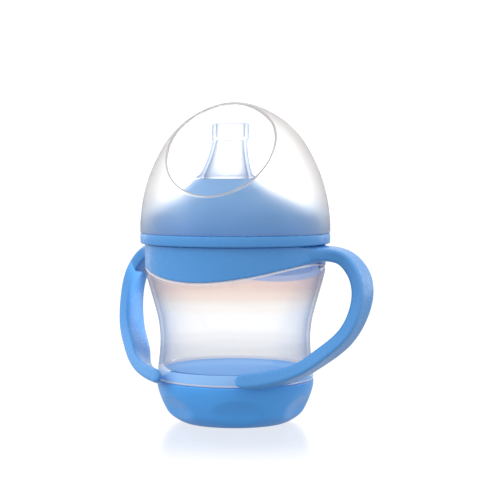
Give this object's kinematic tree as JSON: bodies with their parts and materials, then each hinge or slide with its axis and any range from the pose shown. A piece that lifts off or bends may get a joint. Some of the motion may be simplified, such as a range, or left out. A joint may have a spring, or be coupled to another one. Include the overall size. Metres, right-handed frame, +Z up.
{
  "type": "sippy cup",
  "caption": "Two-handled training cup: clear waisted bottle in a dimpled base cup, push-under handle ring, screw collar with soft spout, and a domed dust cover with a flat window.",
  "frame": {"origin": "centre of the flat foot of the base cup, on the plane the cup stands on", "axes": "+Z up along the cup's axis, -Y the drinking side that the spout leans to, +X the right handle"},
  "size_m": [0.1146, 0.08, 0.1343],
  "materials": {
    "clear_pp": "clear to slightly milky moulded polypropylene",
    "blue_pp": "sky-blue moulded polypropylene, satin gloss",
    "blue_base": "sky-blue moulded polypropylene, soft satin",
    "frosted_pp": "frosted translucent polypropylene with one polished clear window",
    "clear_silicone": "clear soft silicone",
    "seal_silicone": "translucent soft silicone"
  },
  "bodies": {
    "base": {"base_cup": "blue_base"},
    "bottle": {"bottle": "clear_pp", "handle_ring": "blue_pp"},
    "seal": {"neck_seal": "seal_silicone"},
    "collar": {"collar": "blue_pp", "spout": "clear_silicone"},
    "cover": {"dust_cover": "frosted_pp"}
  },
  "joints": [
    {"name": "bottle_lift", "type": "slide", "parent": "base", "child": "bottle", "axis": [0, 0, 1], "range_m": [0, 0.02], "stiffness_N_per_m": 500},
    {"name": "collar_lift", "type": "slide", "parent": "bottle", "child": "seal", "axis": [0, 0, 1], "range_m": [0, 0.012]},
    {"name": "collar_turn", "type": "hinge", "parent": "seal", "child": "collar", "pos_m": [0, 0, 0.0785], "axis": [0, 0, 1], "range_deg": [0, 1080]},
    {"name": "cover_lift", "type": "slide", "parent": "collar", "child": "cover", "axis": [0, 0, 1], "range_m": [0, 0.06]}
  ],
  "couplings": [
    {"joint": "collar_lift", "follows": "collar_turn", "m_per_rad": 0.0006366}
  ]
}
